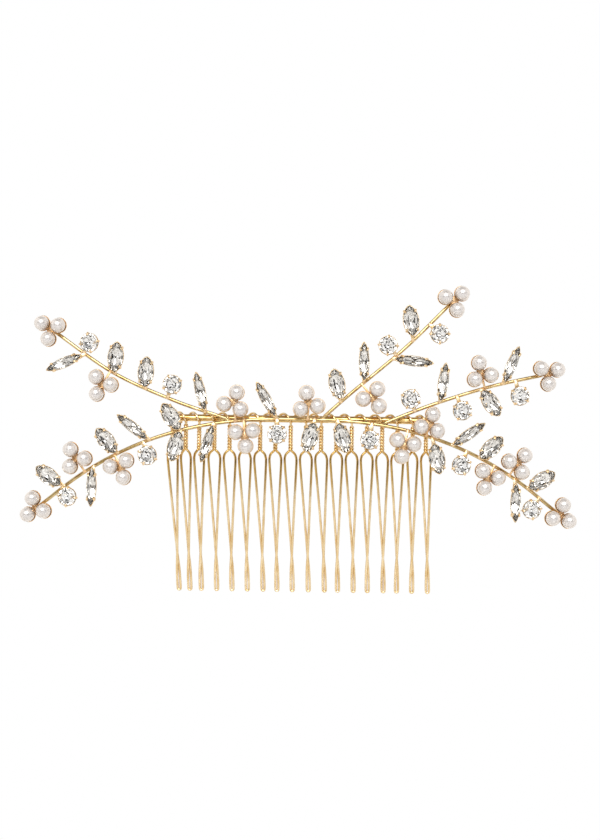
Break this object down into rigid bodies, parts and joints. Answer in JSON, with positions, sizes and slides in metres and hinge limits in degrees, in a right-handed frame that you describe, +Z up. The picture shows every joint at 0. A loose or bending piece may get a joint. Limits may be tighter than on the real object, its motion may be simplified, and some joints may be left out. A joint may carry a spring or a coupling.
{
  "type": "decorative hair comb",
  "caption": "Wire hair comb with twisted hairpin tines and a branching front spray of imitation pearls and foil-backed cut crystals.",
  "frame": {"origin": "middle of the spine bar's axis", "axes": "+X along the spine, +Z up, tines point to -Z, the decorated front faces -Y and the head lies on the +Y side"},
  "size_m": [0.1504, 0.0104, 0.0835],
  "materials": {
    "spine_gold": "gold plated, polished",
    "wire_gold": "gold plated drawn wire",
    "stem_gold": "gold plated, polished",
    "pearl": "white pearl lustre",
    "crystal": "cut and polished, foil backed"
  },
  "bodies": {
    "root": {"comb_spine": "spine_gold", "crystal_lower_left_slim_and_round_a": "crystal", "crystal_lower_left_slim_and_round_c": "crystal", "crystal_lower_left_slim_b": "crystal", "crystal_lower_left_slim_d": "crystal", "crystal_lower_left_wide_and_round_c": "crystal", "crystal_lower_left_wide_and_wide_a": "crystal", "crystal_lower_left_wide_b": "crystal", "crystal_lower_right_round_a": "crystal", "crystal_lower_right_round_b": "crystal", "crystal_lower_right_round_c": "crystal", "crystal_lower_right_slim_a": "crystal", "crystal_lower_right_slim_b": "crystal", "crystal_lower_right_wide_a": "crystal", "crystal_lower_right_wide_b": "crystal", "crystal_lower_right_wide_c": "crystal", "crystal_lower_right_wide_d": "crystal", "crystal_lower_right_wide_e": "crystal", "crystal_side_right_round_a": "crystal", "crystal_side_right_round_b": "crystal", "crystal_side_right_slim_a": "crystal", "crystal_side_right_slim_and_round_b": "crystal", "crystal_side_right_wide_a": "crystal", "crystal_upper_left_round_a": "crystal", "crystal_upper_left_slim_a": "crystal", "crystal_upper_left_slim_and_round_b": "crystal", "crystal_upper_left_wide_a": "crystal", "crystal_upper_left_wide_b": "crystal", "crystal_upper_right_round_a": "crystal", "crystal_upper_right_slim_a": "crystal", "crystal_upper_right_slim_and_round_b": "crystal", "crystal_upper_right_wide_a": "crystal", "crystal_upper_right_wide_b": "crystal", "pearls_lower_left_1": "pearl", "pearls_lower_left_2": "pearl", "pearls_lower_left_3": "pearl", "pearls_lower_left_4": "pearl", "pearls_lower_left_5": "pearl", "pearls_lower_right_1": "pearl", "pearls_lower_right_2": "pearl", "pearls_lower_right_3": "pearl", "pearls_lower_right_4": "pearl", "pearls_lower_right_5": "pearl", "pearls_lower_right_6": "pearl", "pearls_side_right_1": "pearl", "pearls_side_right_2": "pearl", "pearls_upper_left_1": "pearl", "pearls_upper_left_2": "pearl", "pearls_upper_right_1": "pearl", "pearls_upper_right_2": "pearl", "stem_main": "stem_gold", "stem_side_right": "stem_gold", "stem_upper_left": "stem_gold", "stem_upper_right": "stem_gold", "tine_run_01": "wire_gold", "tine_run_02": "wire_gold", "tine_run_03": "wire_gold", "tine_run_04": "wire_gold", "tine_run_05": "wire_gold", "tine_run_06": "wire_gold"}
  },
  "joints": []
}
